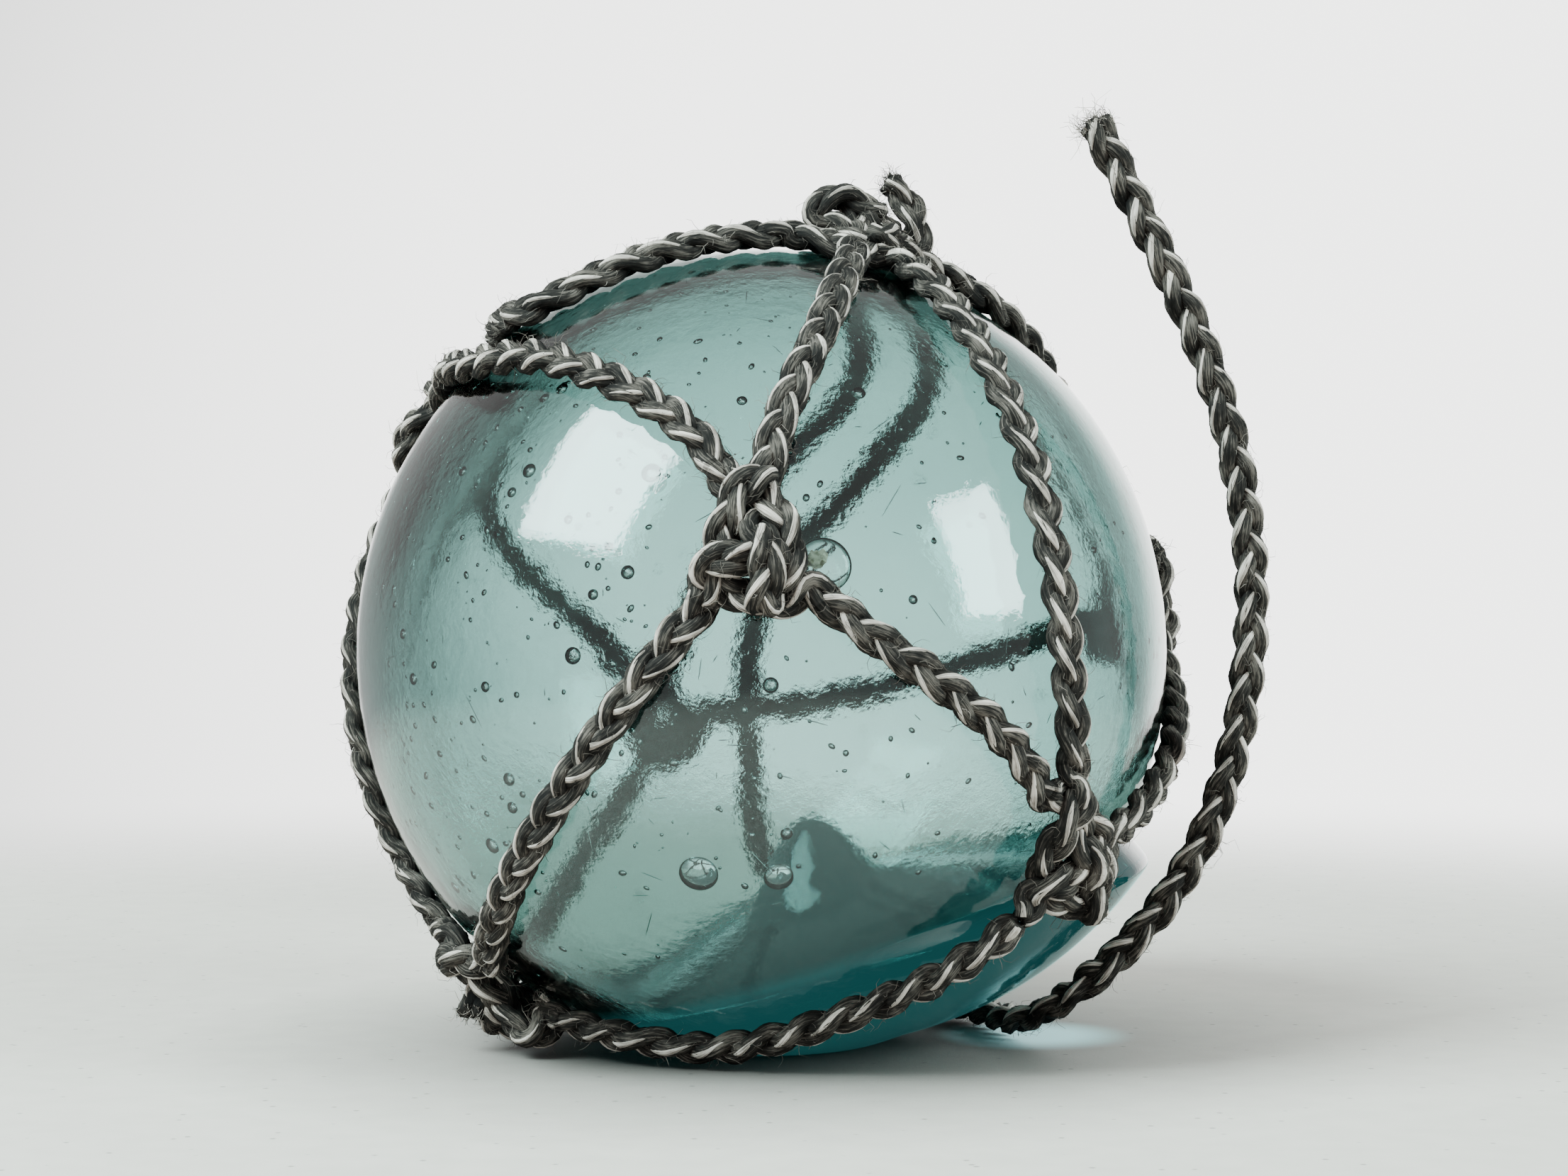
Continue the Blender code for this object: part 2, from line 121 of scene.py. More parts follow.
netKnots = {
    "knot_front": {"at": (-1, 15), "bight": ("cord_top_front", "cord_front_left"),
                   "wrap": ("cord_front_lower_left", "cord_front_right")},
    "knot_right": {"at": (47, -24), "spread": 1.12, "bight": ("cord_top_right", "cord_front_right"),
                   "wrap": ("cord_foot_front", "cord_right_back")},
    "knot_lower_left": {"at": (-75, -50), "spread": 1.3,
                        "bight": ("cord_front_lower_left", "cord_left_side"),
                        "wrap": ("cord_back_lower", "cord_foot_front"),
                        "tucked": ("cord_foot_back",),
                        "own": [[(0.4, -1.0, 0.6), (1.2, -3.0, -2.0), (2.4, -4.4, -4.0), (3.8, -5.2, -4.3),
                                 (5.0, -5.2, -3.2), (4.6, -4.0, -1.2)],
                                [(0.5, 0.7, 0.3), (-1.5, -1.0, -1.1), (-2.0, -1.5, -2.8)]]},
    "knot_left": {"at": (-109, 32), "bight": ("cord_front_left", "cord_top_left"),
                  "wrap": ("cord_back_upper", "cord_left_side")},
    "knot_top": {"at": (66, 75), "spread": 1.25, "bight": ("cord_top_back_right", "cord_top_left"),
                 "wrap": ("cord_top_front", "cord_top_right"), "tucked": ("cord_top_back", "cord_top_foot"),
                 "own": [[(1.5, 0.6, 2.6), (-1.0, -0.2, 4.2), (-3.6, -0.4, 4.0), (-4.6, -0.4, 2.4),
                          (-2.6, 0.0, 1.2)],
                         [(4.8, 2.6, -1.2), (5.2, 3.6, 1.6), (4.2, 4.0, 4.2), (2.6, 4.2, 6.2)]]},
    "knot_back": {"at": (-162, -12.5), "bight": ("cord_back_upper", "cord_top_back"),
                  "wrap": ("cord_back_across", "cord_back_lower")},
    "knot_back_right": {"at": (109, 6), "bight": ("cord_top_back_right", None),
                        "wrap": ("cord_right_back", "cord_back_across")},
    "knot_back_foot": {"at": (176, -50), "bight": ("cord_top_foot", None),
                       "wrap": ("cord_tail", "cord_foot_back")},
}
netCords = {
    "cord_top_front": ("knot_top", [(13, 50), (2, 30)], "knot_front"),
    "cord_top_right": ("knot_top", [(45, 52), (41, 30), (41, 3)], "knot_right"),
    "cord_top_left": ("knot_top", [(-42, 68), (-63, 53), (-88, 52), (-107, 47)], "knot_left"),
    "cord_top_back_right": ("knot_top", [(92, 57), (112, 36), (108, 21)], "knot_back_right"),
    "cord_top_back": ("knot_top", [(135, 70), (157, 48), (177, 30), (-170, 9)], "knot_back"),
    "cord_top_foot": ("knot_top", [(115, 64), (140, 45), (161, 28), (180, 6), (-177, -28)],
                      "knot_back_foot"),
    "cord_front_left": ("knot_front", [(-10, 30), (-39, 42), (-67, 42), (-93, 41)], "knot_left"),
    "cord_front_lower_left": ("knot_front", [(-16, -3), (-38, -28)], "knot_lower_left"),
    "cord_front_right": ("knot_front", [(12, 5), (32, -9)], "knot_right"),
    "cord_left_side": ("knot_left", [(-104, 17), (-98, 0), (-95, -17), (-94, -30), (-85, -41)],
                       "knot_lower_left"),
    "cord_foot_front": ("knot_lower_left", [(-37, -59), (-12, -61), (18, -51)], "knot_right"),
    "cord_right_back": ("knot_right", [(62, -22), (80, -13), (96, -5)], "knot_back_right"),
    "cord_back_upper": ("knot_left", [(-125, 20), (-140, 9), (-151, 1)], "knot_back"),
    "cord_back_across": ("knot_back", [(176, -10), (155, -5), (132, 1)], "knot_back_right"),
    "cord_back_lower": ("knot_back", [(-155, -25), (-142, -36), (-118, -48)], "knot_lower_left"),
    "cord_foot_back": ("knot_back_foot", [(-162, -58), (-134, -61), (-104, -59)], "knot_lower_left"),
}
crossing = {"cord": "cord_top_foot", "at": (-178, -11), "span": 9.0, "rise": 2.6}
tailRoute = [
    (7.4, 21.8, 3.0), (10.6, 19.6, 1.8), (14.8, 16.2, 1.6), (18.9, 11.2, 1.6), (21.8, 4.8, 1.6),
    (23.6, -1.2, 1.9), (26.0, -5.2, 3.4), (29.4, -7.8, 6.2), (33.4, -9.2, 10.2), (37.2, -10.0, 15.2),
    (40.2, -10.4, 20.8), (42.2, -10.6, 26.8), (43.4, -10.8, 33.0), (43.9, -11.0, 39.2),
    (43.7, -11.2, 45.4), (42.8, -11.4, 51.8), (41.2, -11.6, 58.2), (38.9, -11.8, 64.6),
    (36.0, -12.0, 71.0), (32.8, -12.2, 77.4), (29.6, -12.4, 83.6),
]
# a knot's strands: right and up from its middle, and height above a cord that lies on the glass
bight = [
    (2.3, 6.5, 0.2), (1.0, 5.3, 1.5), (-0.5, 4.1, 1.6), (-1.5, 2.8, 1.2), (-2.3, 1.0, 0.5), (-2.7, -0.6, 0.2),
    (-2.8, -2.8, 0.1), (-2.0, -3.95, 0.1), (-0.8, -4.2, 0.2), (0.8, -4.2, 0.4), (1.8, -3.5, 0.8),
    (2.4, -2.1, 1.2), (2.55, -0.4, 1.3), (2.25, 1.5, 1.1), (1.6, 3.3, 0.6), (0.9, 4.6, 0.2),
    (-0.2, 5.7, 0.0), (-2.4, 6.6, 0.0),
]
wrap = [
    (-6.3, -2.7, 0.0), (-4.3, -1.8, 0.7), (-2.6, -1.2, 2.0), (-0.9, -1.3, 1.9), (0.3, -1.5, 1.2),
    (1.6, -0.8, 0.1), (1.5, 1.1, 0.0), (0.4, 1.5, 0.3), (0.3, 0.6, 1.5), (0.85, -0.2, 2.5), (0.9, -1.3, 2.9),
    (0.6, -2.9, 2.7), (0.1, -4.5, 1.9), (0.2, -5.2, 0.7), (1.3, -4.7, 0.0), (2.8, -4.5, 0.0),
    (4.3, -5.3, 0.0),
]


def unit(vectors):
    return vectors / np.maximum(np.linalg.norm(vectors, axis=-1, keepdims=True), 1e-9)


def smooth(value):
    value = np.clip(value, 0, 1)
    return value * value * (3 - 2 * value)


def direction(place):
    around, up = np.radians(place)
    return np.array((math.sin(around) * math.cos(up), -math.cos(around) * math.cos(up), math.sin(up)))


def degreesFrom(along, axis):
    return np.degrees(np.arccos(np.clip(along @ axis, -1, 1)))


def lengthAlong(points):
    return np.concatenate([[0], np.cumsum(np.linalg.norm(np.diff(points, axis=0), axis=1))])


def evenly(points, step):
    along = lengthAlong(points)
    wanted = np.linspace(0, along[-1], max(2, round(along[-1] / step) + 1))
    return np.stack([np.interp(wanted, along, points[:, i]) for i in range(3)], axis=1)


# a smooth line through a few marks, with points a step apart
def smoothLine(marks, step):
    marks = np.asarray(marks, float)
    ends = np.vstack([2 * marks[0] - marks[1], marks, 2 * marks[-1] - marks[-2]])
    t = np.linspace(0, 1, 24, endpoint=False)[:, None]
    fine = [0.5 * (2 * b + (c - a) * t + (2 * a - 5 * b + 4 * c - d) * t**2 + (3 * b - a - 3 * c + d) * t**3)
            for a, b, c, d in zip(ends, ends[1:], ends[2:], ends[3:])]
    return evenly(np.vstack(fine + [marks[-1:]]), step)


# how far the seal's dome reaches from the ball's middle; it eases into the ball on the -X side
def sealReach(along):
    offset = np.array((seal["side"], 0, seal["up"]))
    shift = along @ offset
    dome = shift + np.sqrt(seal["domeRadius"]**2 - offset @ offset + shift**2)
    ease = smooth(-(along @ sealSide) / math.sin(math.radians(seal["halfAngle"])))
    return dome * (1 - ease) + ball["radius"] * ease


def glassReach(along):
    angle = degreesFrom(along, sealAxis)
    onSeal = smooth((seal["halfAngle"] - angle) / seal["rim"] + 0.5)
    return ball["radius"] + (np.maximum(sealReach(along), ball["radius"]) - ball["radius"]) * onSeal


# the furthest that the glass reaches near a direction, within a little more than a cord's half width
def clearReach(along):
    along = np.atleast_2d(along)
    across = unit(np.cross(along, (0.31, 0.52, 0.79)))
    other = np.cross(along, across)
    turns = [(math.cos(t), math.sin(t)) for t in np.linspace(0, math.tau, 8, endpoint=False)]
    near = [unit(along * ball["radius"] + (across * c + other * s) * cord["clear"]) for c, s in turns]
    return np.max([glassReach(a) for a in [along, *near]], axis=0)


def aboveFloor(points):
    points = np.array(points, float)
    points[..., 2] = np.maximum(points[..., 2], cord["lowest"])
    return points


def cordPath(name):
    start, between, end = netCords[name]
    marks = [direction(p) for p in (netKnots[start]["at"], *between, netKnots[end]["at"])]
    turns = unit(smoothLine(marks, cord["pathStep"] / ball["radius"]))
    reach = clearReach(turns) + cord["height"]
    if name == crossing["cord"]:
        away = np.arccos(np.clip(turns @ direction(crossing["at"]), -1, 1)) * ball["radius"]
        reach = reach + crossing["rise"] * smooth(1.5 * (1 - away / crossing["span"]))
    side = cord["easedOver"]
    window = np.ones(2 * side + 1) / (2 * side + 1)
    eased = np.convolve(np.pad(reach, side, mode="edge"), window, mode="valid")
    return aboveFloor(ball["middle"] + turns * np.maximum(reach, eased)[:, None])


def knotMiddle(knot):
    along = direction(netKnots[knot]["at"])
    return ball["middle"] + along * (clearReach(along)[0] + cord["height"])


def knotReach(knot):
    return cord["knotReach"] * netKnots[knot].get("spread", 1)


# the part of a cord's path that lies inside or between its knots
def insideKnot(path, knot):
    return path[np.linalg.norm(path - knotMiddle(knot), axis=1) <= knotReach(knot)]


def betweenKnots(name):
    start, _, end = netCords[name]
    path = cordPath(name)
    for knot in (start, end):
        path = path[np.linalg.norm(path - knotMiddle(knot), axis=1) > knotReach(knot)]
    return path


# outermost point of a cord inside a knot, and one a little further in
def leaving(name, knot):
    if name == "cord_tail":
        start, after = np.array(tailRoute[:2])
        back = unit(start - after)
        return tuple(start + back * inside for inside in cord["tailGrip"])
    path = cordPath(name)
    if netCords[name][2] == knot:
        path = path[::-1]
    inside = insideKnot(path, knot)
    return inside[-1], inside[-4]


def knotFrame(knot):
    out = direction(netKnots[knot]["at"])
    middle = knotMiddle(knot)
    above = sum(unit(leaving(c, knot)[0] - middle) for c in netKnots[knot]["bight"] if c)
    up = unit(above - out * (above @ out))
    if None in netKnots[knot]["bight"]:      # a bight with a cut end leans away from its other cord
        up = up * math.cos(cord["cutEndTurn"]) + np.cross(out, up) * math.sin(cord["cutEndTurn"])
    return out, np.cross(up, out), up


def knotStrand(knot, shape, cords):
    out, right, up = knotFrame(knot)
    along = unit(np.array([out * ball["radius"] + right * x + up * y for x, y, _ in shape]))
    reach = clearReach(along) + cord["height"] + np.array([h for _, _, h in shape])
    marks = list(aboveFloor(ball["middle"] + along * reach[:, None]))
    for place, name in zip((0, -1), cords):
        if name:
            outer, inner = leaving(name, knot)
            marks[place:1 if place == 0 else None] = [outer, inner] if place == 0 else [inner, outer]
    return smoothLine(marks, cord["pathStep"])


# walk each cord from end to end: runs and knot strands in turn, so that the plait runs on unbroken
def makeChains():
    links, begins, used = {}, [], set()
    for knot, facts in netKnots.items():
        for part, shape in (("bight", bight), ("wrap", wrap)):
            first, last = facts[part]
            points = knotStrand(knot, shape, facts[part])
            links[(first, knot)] = (knot + part, points, last)
            links[(last, knot)] = (knot + part, points[::-1], first)
            ways = [(knot, knot + part, points, last), (knot, knot + part, points[::-1], first)]
            begins += [ways[0] if last else ways[1]] if None in facts[part] else []
        for name in facts.get("tucked", ()):
            outer, inner = leaving(name, knot)
            deepEnd = knotMiddle(knot) + direction(facts["at"]) * cord["tuckedHeight"]
            points = smoothLine([outer, inner, deepEnd], cord["pathStep"])
            links[(name, knot)] = (knot + name, points, None)
            begins.append((knot, knot + name, points[::-1], name))
    begins += [(knot, *links[(facts["wrap"][0], knot)]) for knot, facts in netKnots.items()
               if facts["wrap"][0] in netCords]
    chains = []
    tail = ("knot_back_foot", *links[("cord_tail", "knot_back_foot")])
    for knot, strand, points, name in [tail, *begins]:
        if strand in used:
            continue
        chain = [("cord_tail", smoothLine(tailRoute, cord["pathStep"])[::-1])] if not chains else []
        while strand not in used:
            used.add(strand)
            chain.append((knot, points))
            if not name:
                break
            run = betweenKnots(name)
            forward = netCords[name][0] == knot
            chain.append((name, run if forward else run[::-1]))
            knot = netCords[name][2 if forward else 0]
            strand, points, name = links[(name, knot)]
        chains.append(chain)
    for knot, facts in netKnots.items():
        for marks in facts.get("own", ()):
            loose = smoothLine(knotMiddle(knot) + np.array(marks), cord["pathStep"])
            chains.append([(knot, aboveFloor(loose))])
    return chains


# slow, even wobble without a pattern: a few sines of unlike lengths
def wobble(s, seed, amount, length):
    sines = sum(np.sin(s * 6.283 / (length * longer) + seed * shift)
                for longer, shift in ((1, 2.1), (0.61, 4.7), (1.7, 1.3)))
    return amount * (sines / 3)


# directions across a line: outward ones that follow it without a jump
def normalsAlong(points, tangents, guide):
    normals = np.zeros_like(points)
    held = guide[0] - tangents[0] * (guide[0] @ tangents[0])
    for i in range(len(points)):
        wanted = guide[i] - tangents[i] * (guide[i] @ tangents[i])
        held = held + cord["follow"] * wanted
        held = unit(held - tangents[i] * (held @ tangents[i]))
        normals[i] = held
    return normals


def tangentsOf(points):
    return unit(np.gradient(points, axis=0))


# rings along a line: grid[i, j] is point j of ring i
def ringGrid(points, normals, sides, wide, thick, flutes=0.0):
    tangents = tangentsOf(points)
    normals = unit(normals - tangents * np.sum(normals * tangents, axis=1)[:, None])
    across = np.cross(tangents, normals)
    angles = np.linspace(0, math.tau, sides, endpoint=False)[None, :]
    twist = lengthAlong(points)[:, None] * cord["fluteTwist"]
    swell = 1 + flutes * (np.cos(cord["flutes"] * (angles + twist)) + 0.5 * np.cos(8 * angles - twist * 3))
    wide, thick = (np.broadcast_to(v, len(points))[:, None, None] for v in (wide, thick))
    return (points[:, None] + across[:, None] * (np.sin(angles) * swell)[..., None] * wide
            + normals[:, None] * (np.cos(angles) * swell)[..., None] * thick)


# the three strands of the plait and the pale yarn on each, along the whole of a chain
def plait(points, guide, seed):
    s = lengthAlong(points)
    tangents = tangentsOf(points)
    normals = normalsAlong(points, tangents, guide)
    across = np.cross(tangents, normals)
    wander, yarnWander = cord["wander"], paleYarn["wander"]
    strands, yarns = [], []
    for k in range(3):
        phase = math.tau * (s / cord["period"] + k / 3) + wobble(s, seed + k, *wander["phase"])
        sideways = cord["sideways"] * (1 + wobble(s, seed + 3 * k, *wander["sideways"]))
        middle = (points + across * (sideways * np.sin(phase))[:, None]
                  + normals * (cord["depth"] * np.sin(2 * phase))[:, None])
        plump = cord["strand"] * (1 + wobble(s, seed + 5 * k, *wander["strand"]))
        squeeze = cord["squeeze"] + (1 - cord["squeeze"]) * np.abs(np.sin(phase))
        strand = ringGrid(middle, normals, cord["sides"], plump, plump * squeeze, cord["fluteDepth"])
        # how open each point lies to the light: low in the furrows, where the strand's colour gets painted
        # shade
        away = strand - points[:, None]
        height = np.sum(away * normals[:, None], axis=2)
        edge = np.abs(np.sum(away * across[:, None], axis=2)) - cord["openEdge"]
        low, high = cord["open"]
        strands.append((strand, s, smooth((np.maximum(height, edge) - low) / (high - low))))
        # the pale yarn comes up on each strand as that crosses the top, and sinks in again
        lay = np.sin(phase) + wobble(s, seed + 7 * k, *yarnWander["lay"])
        seen = 0.5 + 0.5 * np.cos(2 * phase - paleYarn["late"] + wobble(s, seed + 9 * k, *yarnWander["seen"]))
        strandTangents = tangentsOf(middle)
        flat = unit(normals - strandTangents * np.sum(normals * strandTangents, axis=1)[:, None])
        side = np.cross(strandTangents, flat)
        outward = side * np.sin(lay)[:, None] + flat * np.cos(lay)[:, None]
        lift = plump * (0.97 - 0.06 * np.abs(np.cos(phase))) - paleYarn["sink"] * (1 - seen)**3
        yarn = middle + outward * (lift - paleYarn["thick"] + paleYarn["proud"] * 2)[:, None]
        width = paleYarn["least"] + (1 - paleYarn["least"]) * seen**paleYarn["narrowing"]
        width = paleYarn["wide"] * width * (1 + wobble(s, seed + 11 * k, *yarnWander["wide"]))
        grid = ringGrid(yarn, outward, paleYarn["sides"], width, paleYarn["thick"])
        yarns.append((grid, s, np.ones(grid.shape[:2])))
    return strands, yarns


# fine loose hairs: each a thin three-sided thread from a point on a strand
def hairs(roots, outward, along, count, length, radius, spread):
    if count < 1:
        return None
    pick = random.integers(0, len(roots), count)
    root, out, run = roots[pick], outward[pick], along[pick]
    aim = unit(out * random.uniform(*fuzz["outward"], (count, 1)) + run * random.normal(0, spread, (count, 1))
               + random.normal(0, fuzz["stray"], (count, 3)))
    side = unit(np.cross(aim, random.normal(0, 1, (count, 3))))
    other = np.cross(aim, side)
    t = np.linspace(0, 1, fuzz["bends"] + 1)[None, :, None]
    size = random.uniform(*length, (count, 1, 1)) * random.uniform(0.4, 1, (count, 1, 1))
    curl = random.uniform(*fuzz["curl"], (count, 1, 1)) * size
    turn = random.uniform(0, math.tau, (count, 1, 1))
    speed = random.uniform(*fuzz["curlTurns"], (count, 1, 1))
    line = (root[:, None] + aim[:, None] * size * t - out[:, None] * size * fuzz["droop"] * t**2
            + side[:, None] * curl * t * np.sin(turn + speed * t)
            + other[:, None] * curl * t * np.cos(turn + speed * t))
    corners = [side * math.cos(a) + other * math.sin(a) for a in (0.0, 2.09, 4.19)]
    atRoot, atTip = fuzz["thickness"]
    thin = radius * (atRoot + (atTip - atRoot) * t)
    return np.stack([line + c[:, None] * thin for c in corners], axis=2)     # hair, bend, corner, xyz


# faces between rings of points that are next to each other; the last axis runs around a ring
def facesBetween(a, b):
    return np.stack([a, np.roll(a, -1, -1), np.roll(b, -1, -1), b], axis=-1).reshape(-1, 4)


def newPiece(name, points, faces, slots, materials):
    mesh = bpy.data.meshes.new(name)
    mesh.from_pydata((points * mm).tolist(), [], faces)
    for material in materials:
        mesh.materials.append(material)
    mesh.polygons.foreach_set("material_index", slots)
    mesh.shade_smooth()
    mesh.update()
    piece = bpy.data.objects.new(name, mesh)
    bpy.context.scene.collection.objects.link(piece)
    return piece


# gathers the strands and hairs of one piece, with their lay and how open they lie to the light
class Builder:
    def __init__(self):
        self.points, self.faces, self.uvs, self.slots, self.lit, self.count = [], [], [], [], [], 0

    def addGrid(self, grid, slot, lengths, lit):
        rows, sides = grid.shape[:2]
        index = np.arange(rows * sides).reshape(rows, sides) + self.count
        a, b = index[:-1], index[1:]
        quads = facesBetween(a, b)
        u = np.arange(sides + 1) / sides
        u0, u1 = np.broadcast_to(u[:-1], a.shape), np.broadcast_to(u[1:], a.shape)
        v0, v1 = np.broadcast_to(lengths[:-1, None], a.shape), np.broadcast_to(lengths[1:, None], a.shape)
        uv = np.stack([np.stack([u0, v0], -1), np.stack([u1, v0], -1), np.stack([u1, v1], -1),
                       np.stack([u0, v1], -1)], axis=2).reshape(-1, 2)
        self.points.append(grid.reshape(-1, 3))
        self.lit.append(lit.ravel())
        self.faces.extend(quads.tolist())
        self.uvs.append(uv)
        for ring in (index[0][::-1], index[-1]):
            self.faces.append(ring.tolist())
            self.uvs.append(np.zeros((sides, 2)))
        self.slots.extend([slot] * (len(quads) + 2))
        self.count += rows * sides

    def addHairs(self, threads, slot):
        if threads is None:
            return
        count, rows, sides = threads.shape[:3]
        index = np.arange(count * rows * sides).reshape(count, rows, sides) + self.count
        quads = facesBetween(index[:, :-1], index[:, 1:])
        self.points.append(threads.reshape(-1, 3))
        self.lit.append(np.ones(threads.size // 3))
        self.faces.extend(quads.tolist())
        self.uvs.append(np.zeros((len(quads) * 4, 2)))
        self.slots.extend([slot] * len(quads))
        self.count += threads.size // 3

    def finish(self, name, materials):
        points = np.vstack(self.points)
        points[:, 2] = np.maximum(points[:, 2], cord["foot"])     # pressed flat where it lies on the floor
        piece = newPiece(name, points, self.faces, self.slots, materials)
        layer = piece.data.uv_layers.new(name="lay")
        layer.data.foreach_set("uv", np.vstack(self.uvs).astype(np.float32).ravel())
        openToLight = piece.data.attributes.new("openToLight", "FLOAT", "POINT")    # low in the furrows
        openToLight.data.foreach_set("value", np.concatenate(self.lit).astype(np.float32))
        return piece


def newMaterial(name):
    material = bpy.data.materials.new(name)
    material.use_nodes = True
    return material, material.node_tree, material.node_tree.nodes["Principled BSDF"]


# a socket among the values is linked to the input of that name, and what is no input is a setting
def fill(tree, node, values):
    for name, value in values.items():
        if isinstance(value, bpy.types.NodeSocket):
            tree.links.new(value, node.inputs[name])
        elif isinstance(name, int) or name in node.inputs:
            node.inputs[name].default_value = value
        else:
            setattr(node, name, value)
    return node


def addNode(tree, kind, values=None):
    return fill(tree, tree.nodes.new("ShaderNode" + kind), values or {})


def colourRamp(tree, fac, stops):
    ramp = addNode(tree, "ValToRGB", {"Fac": fac})
    for place, colour in stops[2:]:
        ramp.color_ramp.elements.new(place)
    for element, (place, colour) in zip(ramp.color_ramp.elements, sorted(stops)):
        element.position = place
        element.color = (*colour, 1)
    return ramp.outputs["Color"]


# the furrow tone is painted shade: the share of its colour that a strand keeps deep in the furrows
fibre = {"along": 0.55, "patches": 420.0, "patchShare": 0.35, "paintedFurrowShade": 0.12, "relief": 0.00012,
         "specular": 0.1}


# fibres that run along a strand, from its own length and girth
def fibreMaterial(name, stops, rough, across, bump):
    material, tree, shader = newMaterial(name)
    uv = addNode(tree, "UVMap", {"uv_map": "lay"}).outputs["UV"]
    lay = addNode(tree, "Mapping", {"Vector": uv, "Scale": (across, fibre["along"], 1)}).outputs["Vector"]
    streaks = addNode(tree, "TexNoise", {"Vector": lay, "Scale": 1.0, "Detail": 5.0, "Roughness": 0.7,
                                         "Distortion": 0.3}).outputs["Fac"]
    place = addNode(tree, "TexCoord").outputs["Object"]
    patches = addNode(tree, "TexNoise", {"Vector": place, "Scale": fibre["patches"], "Detail": 3.0})
    both = addNode(tree, "Mix", {"data_type": "FLOAT", 0: fibre["patchShare"], 2: streaks,
                                 3: patches.outputs["Fac"]})
    # painted shade: the colour is darkened where a strand lies low in the plait's furrows
    litShare = addNode(tree, "Attribute", {"attribute_name": "openToLight"}).outputs["Fac"]
    shade = addNode(tree, "MapRange", {"Value": litShare, "To Min": fibre["paintedFurrowShade"]}).outputs["Result"]
    darker = addNode(tree, "VectorMath", {"operation": "SCALE", 0: colourRamp(tree, both.outputs[0], stops),
                                          "Scale": shade})
    relief = addNode(tree, "Bump", {"Strength": bump, "Distance": fibre["relief"], "Height": streaks})
    fill(tree, shader, {"Base Color": darker.outputs["Vector"], "Normal": relief.outputs["Normal"],
                        "Roughness": rough, "Specular IOR Level": fibre["specular"]})
    return material


# clear glass: the colour is in its depth, the unevenness in its skin, each wave a scale and a strength
def glassMaterial(name, tint, absorb, density, waves, ior=1.5, glow=None):
    material, tree, shader = newMaterial(name)
    fill(tree, shader, {"Base Color": (*tint, 1), "Transmission Weight": 1.0, "Roughness": 0.0, "IOR": ior})
    volume = addNode(tree, "VolumeAbsorption", {"Color": (*absorb, 1), "Density": density}).outputs["Volume"]
    # painted glow: when a glow is given, the glass's depth emits light of its own
    if glow:
        paintedGlow = addNode(tree, "Emission", {"Color": (*glow, 1), "Strength": 1.0}).outputs["Emission"]
        volume = addNode(tree, "AddShader", {0: volume, 1: paintedGlow}).outputs["Shader"]
    fill(tree, tree.nodes["Material Output"], {"Volume": volume})
    place = addNode(tree, "TexCoord").outputs["Object"]
    skin = {}
    for scale, strength in waves:
        noise = addNode(tree, "TexNoise", {"Vector": place, "Scale": scale, "Detail": 4.0, "Roughness": 0.6})
        relief = addNode(tree, "Bump", {"Strength": strength, "Distance": ball["relief"],
                                        "Height": noise.outputs["Fac"], **skin})
        skin = {"Normal": relief.outputs["Normal"]}
    fill(tree, shader, skin)
    return material


darkFibre = fibreMaterial("darkFibre", [(0.41, (0.0034, 0.0028, 0.0024)), (0.61, (0.108, 0.09, 0.077)),
                                        (0.5, (0.0165, 0.0137, 0.0118))], 0.75, 26, 1.0)
paleFibre = fibreMaterial("paleFibre", [(0.4, (0.085, 0.07, 0.06)), (0.58, (0.56, 0.48, 0.43)),
                                        (0.48, (0.30, 0.25, 0.22))], 0.85, 16, 0.9)
looseFibre = fibreMaterial("looseFibre", [(0.4, (0.036, 0.03, 0.026)), (0.6, (0.38, 0.32, 0.28)),
                                          (0.5, (0.13, 0.108, 0.094))], 0.9, 1, 0.1)
floatMaterial = glassMaterial("paleAquaGlass", (0.82, 0.87, 0.865), (0.06, 0.40, 0.36), 290,
                              [(60, 0.16), (300, 0.07), (1500, 0.03)])
crustMaterial, tree, shader = newMaterial("ochreCrust")
place = addNode(tree, "TexCoord").outputs["Object"]
blots = addNode(tree, "TexNoise", {"Vector": place, "Scale": 1500.0, "Detail": 4.0}).outputs["Fac"]
ochre = colourRamp(tree, blots, [(0.4, (0.25, 0.20, 0.10)), (0.55, (0.85, 0.80, 0.60))])
fill(tree, shader, {"Base Color": ochre, "Roughness": 0.8})
# painted glow: an emission in the thick teal glass stands in for light scattered inside it
sealMaterial = glassMaterial("deepTealGlass", (0.95, 0.985, 0.985), (0.0, 0.77, 0.79), 260, [], ior=1.0,
                             glow=(4.2, 19.0, 20.0))


# a chain's end is cut where no other strand of its knot begins
def isCut(chain, end):
    knot = chain[end][0]
    if knot == "cord_tail" or len(chain) == 1:
        return True
    facts = netKnots[knot]
    following = chain[1 if end == 0 else -2][0]
    return any(None in facts[part] and following in facts[part] for part in ("bight", "wrap"))


